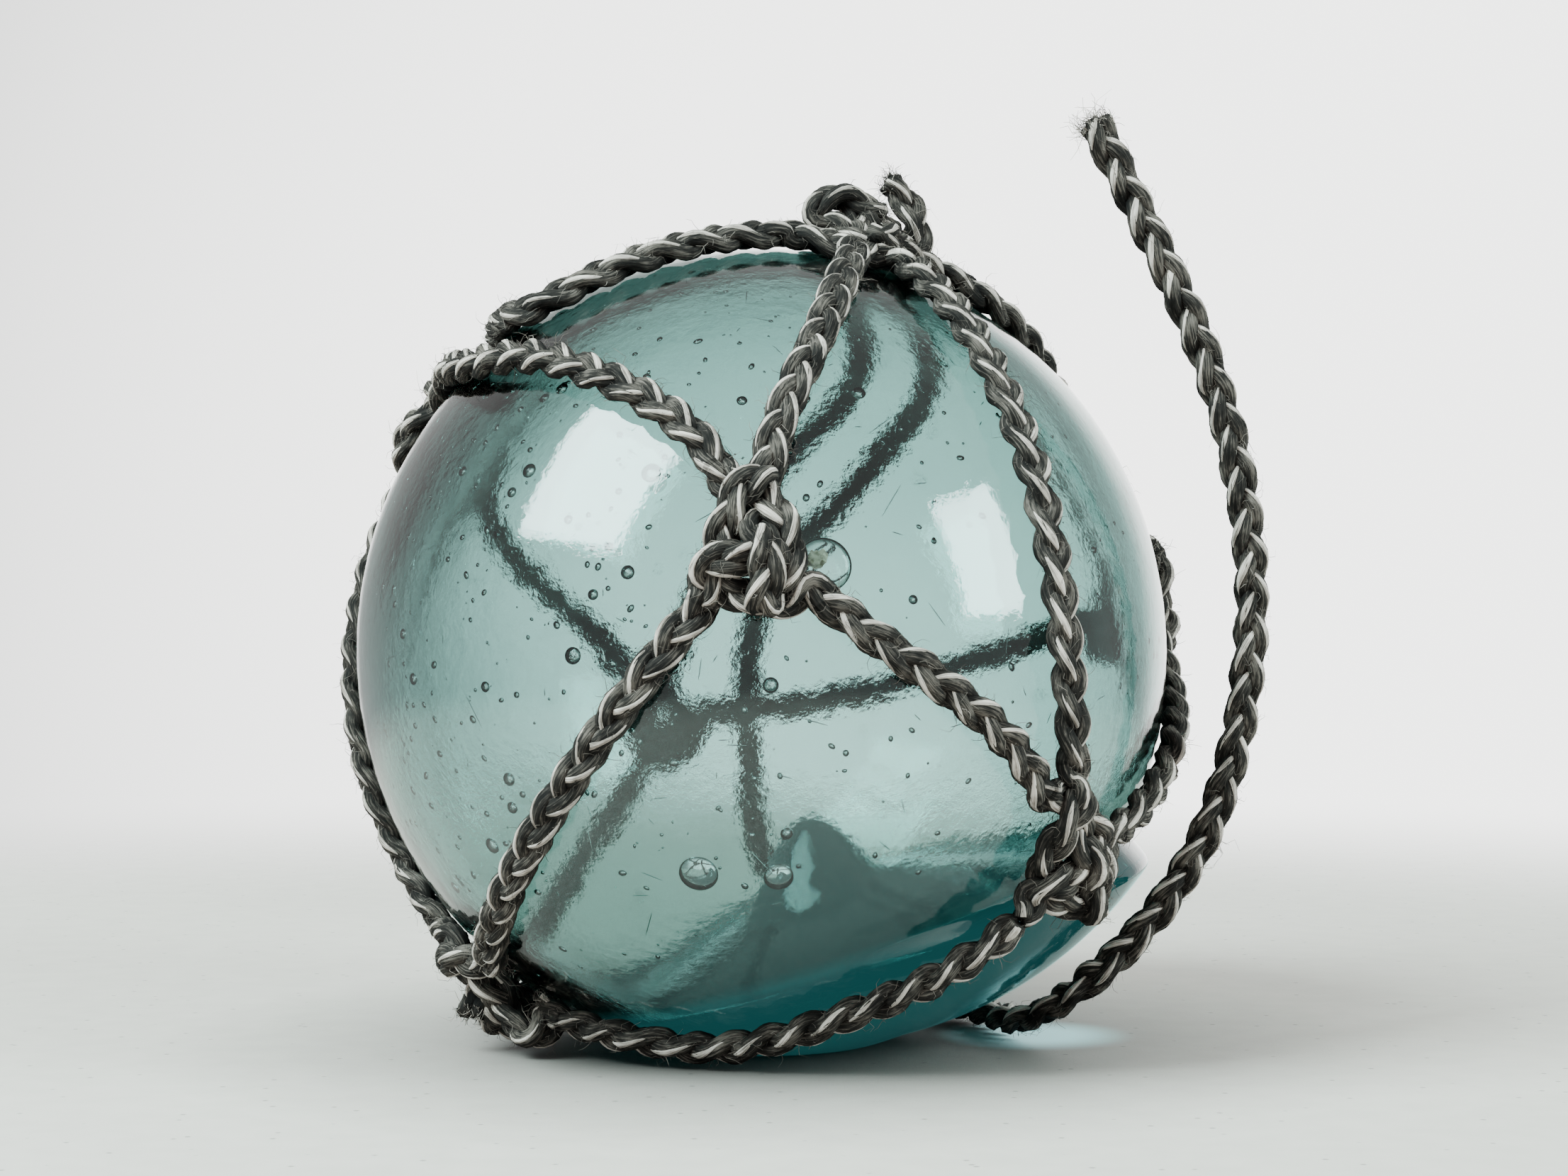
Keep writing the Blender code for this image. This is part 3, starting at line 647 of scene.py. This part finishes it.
# the net and its free end
chains = makeChains()
rounding = (0.05, 0.1, 0.2, 0.3, 0.2, 0.1, 0.05)         # evens the corners where a chain's parts meet
builders = {}
for number, chain in enumerate(chains):
    joined = np.vstack([points for _, points in chain])
    marks = np.cumsum([0] + [len(points) for _, points in chain])
    pad = np.pad(joined, ((3, 3), (0, 0)), mode="edge")
    rounded = sum(w * pad[i:i + len(joined)] for i, w in enumerate(rounding))
    rounded[:4], rounded[-4:] = joined[:4], joined[-4:]
    along = lengthAlong(rounded)
    borders = along[np.minimum(marks, len(along) - 1)]
    points = evenly(rounded, cord["step"])
    s = lengthAlong(points)
    outward = unit(points - ball["middle"])
    if chain[0][0] == "cord_tail":           # lies flat on the floor, then faces front as it stands
        low, high = cord["tailTurns"]
        standing = smooth((points[:, 2:] - low) / (high - low))
        onTail = (s < borders[1])[:, None]
        facing = np.array((0, 0, 1.0)) * (1 - standing) + np.array((0.2, -1.0, 0)) * standing
        outward = np.where(onTail, facing, outward)
    strands, yarns = plait(points, outward, number)
    for (name, _), low, high in zip(chain, borders, borders[1:]):
        i, j = np.searchsorted(s, low), min(np.searchsorted(s, high) + 1, len(s))
        i = max(0, i - 1)
        builder = builders.setdefault(name, Builder())
        for grids, slot in ((strands, 0), (yarns, 1)):
            for grid, lengths, lit in grids:
                builder.addGrid(grid[i:j], slot, lengths[i:j], lit[i:j])
        roots = np.vstack([grid[i:j].reshape(-1, 3) for grid, *_ in strands])
        run = np.vstack([np.repeat(tangentsOf(points)[i:j], cord["sides"], axis=0)] * 3)
        out = unit(roots - np.repeat(np.vstack([points[i:j]] * 3), cord["sides"], axis=0))
        free = np.sum(out * unit(roots - ball["middle"]), axis=1) > fuzz["under"]
        builder.addHairs(hairs(roots[free], out[free], run[free], int((high - low) * fuzz["perMm"]),
                               fuzz["long"], fuzz["radius"], fuzz["spread"]), 2)
    for end, inside in ((0, 3), (-1, -4)):   # frayed where a cord is cut
        name = chain[end][0]
        if name in netCords or not isCut(chain, end):
            continue
        heading = unit(points[end] - points[inside])
        fray = np.vstack([grid[end] * w + grid[inside] * (1 - w) for grid, *_ in strands
                          for w in (0.3, 0.65, 1)])
        threads = hairs(fray, np.broadcast_to(heading, fray.shape), unit(fray - points[end]), tuft["count"],
                        tuft["long"], tuft["radius"], tuft["spread"])
        for first, slot in enumerate((1, 0, 2, 0)):      # a quarter pale, half dark, a quarter loose
            builders[name].addHairs(threads[first::4], slot)
        if name == "cord_tail":
            aside = unit(heading + np.array(tuft["wispLeans"]))
            wisp = hairs(fray, np.broadcast_to(aside, fray.shape), unit(fray - points[end]), tuft["wisp"],
                         tuft["wispLong"], tuft["radius"], tuft["wispSpread"])
            builders[name].addHairs(wisp, 1)
for name, builder in builders.items():
    piece = builder.finish("net_" + name, [darkFibre, paleFibre, looseFibre])
    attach(piece, "root")
    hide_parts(name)


def uneven(along, amount, seed, scale):
    total = np.zeros(len(along))
    for i in range(5):
        wave = unit(np.array((math.sin(seed + 1.7 * i), math.cos(2.3 * seed + i),
                              math.sin(0.7 * seed + 3.1 * i))))
        total += np.sin(along @ wave * scale * (1 + 0.37 * i) + seed * (i + 1)) / (1 + 0.5 * i)
    return total * amount / 2.5


def outerReach(along):
    onSeal = smooth((seal["halfAngle"] + 2 - degreesFrom(along, sealAxis)) / 6)
    return glassReach(along) + uneven(along, ball["wave"], 1.3, 5) * (1 - onSeal)


# the air space: round, flat where the seal fills it, with a lump of glass standing on that floor
def airReach(along):
    across = degreesFrom(along, sealAxis) / seal["halfAngle"]
    steep = along @ sealAxis + math.tan(math.radians(seal["lean"])) * along[..., 1]
    floor = seal["seat"] / np.clip(steep, 1e-3, 1) + uneven(along, seal["seatWave"], 4.1, 9)
    floor = floor - seal["bulge"] * (1 - np.clip(across, 0, 1)**2)
    patch = ball["thick"]
    away = degreesFrom(along, direction(patch["at"])) / patch["over"]
    wall = ball["wall"] + ball["wallTowardsSeal"] * (along @ sealAxis) + patch["more"] * np.exp(-away**2)
    roundWall = ball["radius"] - wall + uneven(along, ball["innerWave"], 2.2, 5)
    blend = np.clip(0.5 + 0.5 * (roundWall - floor) / seal["seatBlend"], 0, 1)
    reach = roundWall * (1 - blend) + floor * blend - seal["seatBlend"] * blend * (1 - blend)
    lump = seal["lump"]
    away = degreesFrom(along, unit(np.array(lump["towards"]))) / lump["halfWidth"]
    return reach - lump["tall"] * (1 - np.clip(away, 0, 1)**2.6)**0.75


# rings around the seal's axis, from there to a limit in degrees, each point as far out as reach says
def polarGrid(reach, rings, around, limit=180.0):
    angles = np.linspace(0, 1, rings + 1)
    if limit > 90:
        angles = np.interp(angles, *zip(*ball["ringPlaces"]))
    else:
        angles = angles * limit
    angles = np.radians(angles[1:] if limit < 180 else angles[1:-1])
    turns = np.linspace(0, math.tau, around, endpoint=False)
    front = np.cross(sealAxis, sealSide)
    outward = sealSide[None] * np.cos(turns)[:, None] + front[None] * np.sin(turns)[:, None]
    along = (sealAxis * np.cos(angles)[:, None, None] + outward[None] * np.sin(angles)[:, None, None])
    flat = along.reshape(-1, 3)
    return (ball["middle"] + flat * reach(flat)[:, None]).reshape(len(angles), around, 3)


# a closed skin over a grid of rings with a point at either end; air's own skin looks inwards
def closedSkin(grid, tips, inwards=False):
    rings, around = grid.shape[:2]
    index = np.arange(rings * around).reshape(rings, around)
    quads = facesBetween(index[:-1], index[1:]).tolist()
    first, last = index[0], index[-1]
    ends = [(rings * around, k, j) for j, k in zip(first, np.roll(first, -1))]
    ends += [(rings * around + 1, j, k) for j, k in zip(last, np.roll(last, -1))]
    points = np.vstack([grid.reshape(-1, 3), tips])
    corners = points[quads[0]]
    outwards = np.cross(corners[1] - corners[0], corners[3] - corners[0]) @ (corners[0] - ball["middle"]) > 0
    faces = quads + [tuple(map(int, f)) for f in ends]
    return points, [f[::-1] for f in faces] if outwards == inwards else faces


def joinSkins(name, parts, materials):
    points, faces, slots, count = [], [], [], 0
    for partPoints, partFaces, slot in parts:
        points.append(partPoints)
        faces += [[i + count for i in face] for face in partFaces]
        slots += [slot] * len(partFaces)
        count += len(partPoints)
    points = np.vstack(points)
    points[:, 2] = np.maximum(points[:, 2], ball["foot"])     # the foot it stands on
    return newPiece(name, points, faces, slots, materials)


# bubbles of air in the glass: x and y in the picture and half their width, all in its pixels
bubbles = {
    "front": [(753, 669, 10), (921, 671, 13), (888, 809, 9), (1047, 571, 7), (1209, 561, 9), (1285, 847, 6),
              (799, 557, 9), (775, 570, 7), (729, 699, 7), (806, 736, 6), (862, 773, 6), (840, 840, 7),
              (663, 671, 7), (812, 925, 11), (1087, 966, 10), (987, 1227, 25), (1098, 1232, 19),
              (1109, 1172, 8), (725, 1096, 9), (703, 1187, 11), (654, 1243, 9), (595, 957, 8),
              (581, 895, 7), (730, 1135, 8), (692, 968, 7), (1161, 799, 35)],
    "deepest": 0.42,                         # half of the wall that a large one fills at most
    "seeds": 900, "seedSize": (0.07, 0.32), "seedsTowards": (-0.45, -0.55, 0.25), "scatter": 0.7,
    "scratches": 150, "scratchLong": (0.3, 1.8), "scratchWide": 0.045, "scratchesTowards": (-0.3, -0.8, 0),
    "scratchDeep": 0.45, "scratchCurve": 70,          # a longer one lies deeper, as it is straight
    "clearOfSeal": 0.6,
    "cracks": {"between": ((1600, 1200), (1420, 1385)), "count": 70, "long": (0.3, 1.3), "broad": (0.15, 0.7),
               "thin": 0.03, "deep": (1.6, 4.5), "stray": 0.05},
    "crust": {"at": (1150, 790), "half": (1.1, 0.75, 0.05), "turn": 0.6,     # ochre, in the largest bubble
              "lumps": ((0.1, 5.3), (0.06, 11.7))},
}


def pixelRay(x, y):
    wide, tall = camera["pixels"]
    scale = camera["sensor"] / camera["lens"] / wide
    ray = eye.matrix_world.to_3x3() @ Vector(((x - wide / 2) * scale, (tall / 2 - y) * scale, -1))
    return np.array(eye.location) / mm, unit(np.array(ray))


def onBall(x, y, radius):
    start, ray = pixelRay(x, y)
    b = (start - ball["middle"]) @ ray
    c = (start - ball["middle"]) @ (start - ball["middle"]) - radius**2
    return unit(start + ray * (-b - math.sqrt(max(b * b - c, 0))) - ball["middle"])


def roundTemplate(detail):
    work = bmesh.new()
    bmesh.ops.create_icosphere(work, subdivisions=detail, radius=1.0)
    points = np.array([v.co for v in work.verts])
    faces = [[v.index for v in f.verts] for f in work.faces]
    work.free()
    return points, faces


# a small ellipsoid at a place, flat across one direction: a hollow looks inwards, a crumb outwards
def grain(place, out, half, template, turn=0.0, hollow=True):
    points, faces = template
    right = unit(np.cross(out, (0.2, 0.5, 0.84)))
    up = np.cross(out, right)
    right, up = right * math.cos(turn) + up * math.sin(turn), up * math.cos(turn) - right * math.sin(turn)
    placed = place + (points * half) @ np.array((right, up, out))
    flip = hollow == (np.cross(right, up) @ out > 0)
    return placed, [f[::-1] for f in faces] if flip else faces


def makeFloat():
    parts = []
    for reach, share, inwards in ((outerReach, 1, False), (airReach, 0.75, True)):
        grid = polarGrid(reach, int(ball["rings"] * share), int(ball["around"] * share))
        tips = [ball["middle"] + a * reach(a[None])[0] for a in (sealAxis, -sealAxis)]
        parts.append((*closedSkin(grid, np.array(tips), inwards), 0))
    coarse, fine = roundTemplate(2), roundTemplate(4)
    middle = ball["radius"] - ball["wall"] / 2
    for x, y, size in bubbles["front"]:
        wide = size / camera["pixelsPerMm"]
        half = (wide, wide, min(wide * 0.8, bubbles["deepest"]))
        out = onBall(x, y, middle)
        parts.append((*grain(ball["middle"] + out * middle, out, half, fine), 0))
    scatter = bubbles["scatter"]
    for _ in range(bubbles["seeds"]):
        along = unit(random.normal(0, 1, 3) + np.array(bubbles["seedsTowards"]))
        low, high = bubbles["seedSize"]
        wide = low + (high - low) * random.random()**2
        if along @ sealAxis < bubbles["clearOfSeal"]:
            half = (wide * random.uniform(1, 1.6), wide, wide * 0.8)
            place = ball["middle"] + along * (middle + random.uniform(-scatter, scatter))
            parts.append((*grain(place, along, half, coarse, random.uniform(0, 3.1)), 0))
    for _ in range(bubbles["scratches"]):
        along = unit(random.normal(0, 1, 3) + np.array(bubbles["scratchesTowards"]))
        low, high = bubbles["scratchLong"]
        long = low + (high - low) * random.random()**2
        if along @ sealAxis < bubbles["clearOfSeal"]:
            half = (long, bubbles["scratchWide"], bubbles["scratchWide"])
            deep = bubbles["scratchDeep"] + long**2 / bubbles["scratchCurve"]
            place = ball["middle"] + along * (ball["radius"] - deep)
            parts.append((*grain(place, along, half, coarse, random.uniform(0, 3.1)), 0))
    cracks = bubbles["cracks"]
    (x, y), (x2, y2) = cracks["between"]
    for _ in range(cracks["count"]):
        t = random.random()
        out = onBall(x + (x2 - x) * t, y + (y2 - y) * t, ball["radius"] - 0.1)
        out = unit(out + random.normal(0, cracks["stray"], 3))
        across = unit(random.normal(0, 1, 3))
        half = np.array((random.uniform(*cracks["long"]), random.uniform(*cracks["broad"]), cracks["thin"]))
        deep = outerReach(out[None])[0] - random.uniform(*cracks["deep"])
        parts.append((*grain(ball["middle"] + out * deep, across, half, coarse), 0))
    crust = bubbles["crust"]
    out = onBall(*crust["at"], middle)
    place = ball["middle"] + out * middle
    points, faces = grain(place, out, crust["half"], fine, crust["turn"], hollow=False)
    (tall, close), (small, closer) = crust["lumps"]
    points = points + tall * np.sin(points[:, ::-1] * close) + small * np.sin(points[:, [1, 2, 0]] * closer)
    parts.append((points, faces, 1))
    return joinSkins("floatGlass", parts, [floatMaterial, crustMaterial])


def makeSeal():
    limit = seal["halfAngle"] - seal["inset"]
    low = lambda a: outerReach(a) + seal["skin"]
    high = lambda a: airReach(a) - seal["skin"]
    skins = [polarGrid(reach, seal["rings"], seal["around"], limit) for reach in (low, high)]
    grid = np.concatenate([skins[0], skins[1][::-1]])
    tips = np.array([ball["middle"] + sealAxis * f(sealAxis[None])[0] for f in (low, high)])
    return joinSkins("sealGlass", [(*closedSkin(grid, tips), 0)], [sealMaterial])


for piece, node, slot in ((makeFloat(), "glass_float", "float_glass"),
                          (makeSeal(), "seal_button", "seal_glass")):
    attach(piece, "root")
    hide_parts(node)
    print(piece.name, "ready:", len(piece.data.polygons), "faces")

# floor that fades into the pale surroundings, and soft lights
stage = {"floor": (0.465, 0.41, 0.37), "fade": (0.12, 0.30), "radius": 1.2, "world": (0.99, 1.0, 0.985),
         "lightColour": (0.76, 1.0, 1.0),
         # where the surroundings are bright, how strong, and where that begins and ends across and up
         "bright": (0.2, 0.98, 0.0), "worldPower": (0.8, 3.9), "edge": (0.82, 0.985), "tall": (0.62, 0.26),
         # the contact reach is of painted shadow: how far from things the floor's colour is darkened
         "specks": {"scale": 330, "size": (0.05, 0.11), "tone": 0.55}, "paintedContactShade": 0.03,
         # light that the teal glass gathers on the floor beside it
         "glint": {"at": (0.0255, 0.002, 0), "reach": (0.010, 0.003), "tone": (0.46, 0.70, 0.72)}}
lights = [
    {"name": "window", "from": (-0.618, -0.371, 0.696), "away": 0.75, "size": (0.42, 0.46), "power": 28.0},
    {"name": "sideWindow", "from": (0.853, -0.345, 0.389), "away": 0.8, "size": (0.30, 0.40), "power": 14.0},
]


# rises from 0 to 1 between two values, which may be given the other way round
def softStep(tree, value, between):
    low, high = sorted(between)
    ends = {"To Min": 1, "To Max": 0} if between[0] > between[1] else {}
    return addNode(tree, "MapRange", {"interpolation_type": "SMOOTHSTEP", "Value": value, "From Min": low,
                                      "From Max": high, **ends}).outputs["Result"]


def makeFloor():
    bpy.ops.mesh.primitive_circle_add(vertices=96, radius=stage["radius"], fill_type="NGON")
    floor = bpy.context.object
    floor.name = "floor"
    material, tree, shader = newMaterial("paleFloor")
    place = addNode(tree, "TexCoord").outputs["Object"]
    grit = addNode(tree, "TexNoise", {"Vector": place, "Scale": 260.0, "Detail": 6.0}).outputs["Fac"]
    tone = stage["floor"]
    colour = colourRamp(tree, grit, [(0.35, tuple(v * 0.94 for v in tone)), (0.65, tone)])
    specks = stage["specks"]
    away = addNode(tree, "TexVoronoi", {"Vector": place, "Scale": specks["scale"]}).outputs["Distance"]
    clean = addNode(tree, "MapRange", {"Value": away, "From Min": specks["size"][0],
                                       "From Max": specks["size"][1], "To Min": specks["tone"]})
    speckled = addNode(tree, "VectorMath", {"operation": "SCALE", 0: colour,
                                            "Scale": clean.outputs["Result"]})
    # painted shadow: the floor's colour is darkened where the float and cords stand close over it
    paintedContactShade = addNode(tree, "AmbientOcclusion", {"Distance": stage["paintedContactShade"], "samples": 8,
                                                 "Color": speckled.outputs["Vector"]})
    glint = stage["glint"]
    away = addNode(tree, "VectorMath", {"operation": "DISTANCE", 0: place, 1: glint["at"]}).outputs["Value"]
    gathered = addNode(tree, "Mix", {"data_type": "RGBA", 0: softStep(tree, away, glint["reach"]),
                                     6: paintedContactShade.outputs["Color"], 7: (*glint["tone"], 1)})
    away = addNode(tree, "VectorMath", {"operation": "LENGTH", 0: place}).outputs["Value"]
    fill(tree, shader, {"Base Color": gathered.outputs[2], "Roughness": 0.75,
                        "Alpha": softStep(tree, away, stage["fade"][::-1])})
    floor.data.materials.append(material)
    return floor


# pale surroundings, bright behind the float and low, dim elsewhere
def makeRoom():
    world = bpy.context.scene.world or bpy.data.worlds.new("paleRoom")
    bpy.context.scene.world = world
    world.use_nodes = True
    room = world.node_tree
    place = addNode(room, "TexCoord").outputs["Generated"]
    towards = addNode(room, "VectorMath", {"operation": "DOT_PRODUCT", 0: place, 1: stage["bright"]})
    height = addNode(room, "SeparateXYZ", {"Vector": place}).outputs["Z"]
    inFront = softStep(room, towards.outputs["Value"], stage["edge"])
    low = softStep(room, height, stage["tall"])
    both = addNode(room, "Math", {"operation": "MULTIPLY", 0: inFront, 1: low})
    dim, strong = stage["worldPower"]
    power = addNode(room, "MapRange", {"Value": both.outputs["Value"], "To Min": dim, "To Max": strong})
    fill(room, room.nodes["Background"], {"Color": (*stage["world"], 1), "Strength": power.outputs["Result"]})


def makeLights():
    for facts in lights:
        data = bpy.data.lights.new(facts["name"], "AREA")
        data.shape = "RECTANGLE"
        data.size, data.size_y = facts["size"]
        data.energy = facts["power"]
        data.color = stage["lightColour"]
        lamp = bpy.data.objects.new(facts["name"], data)
        aim = Vector(facts["from"]).normalized()
        lamp.location = aim * facts["away"] + Vector(ball["middle"]) * mm
        lamp.rotation_euler = aim.to_track_quat("Z", "Y").to_euler()
        bpy.context.scene.collection.objects.link(lamp)


makeFloor()
makeRoom()
makeLights()
print("stage ready")
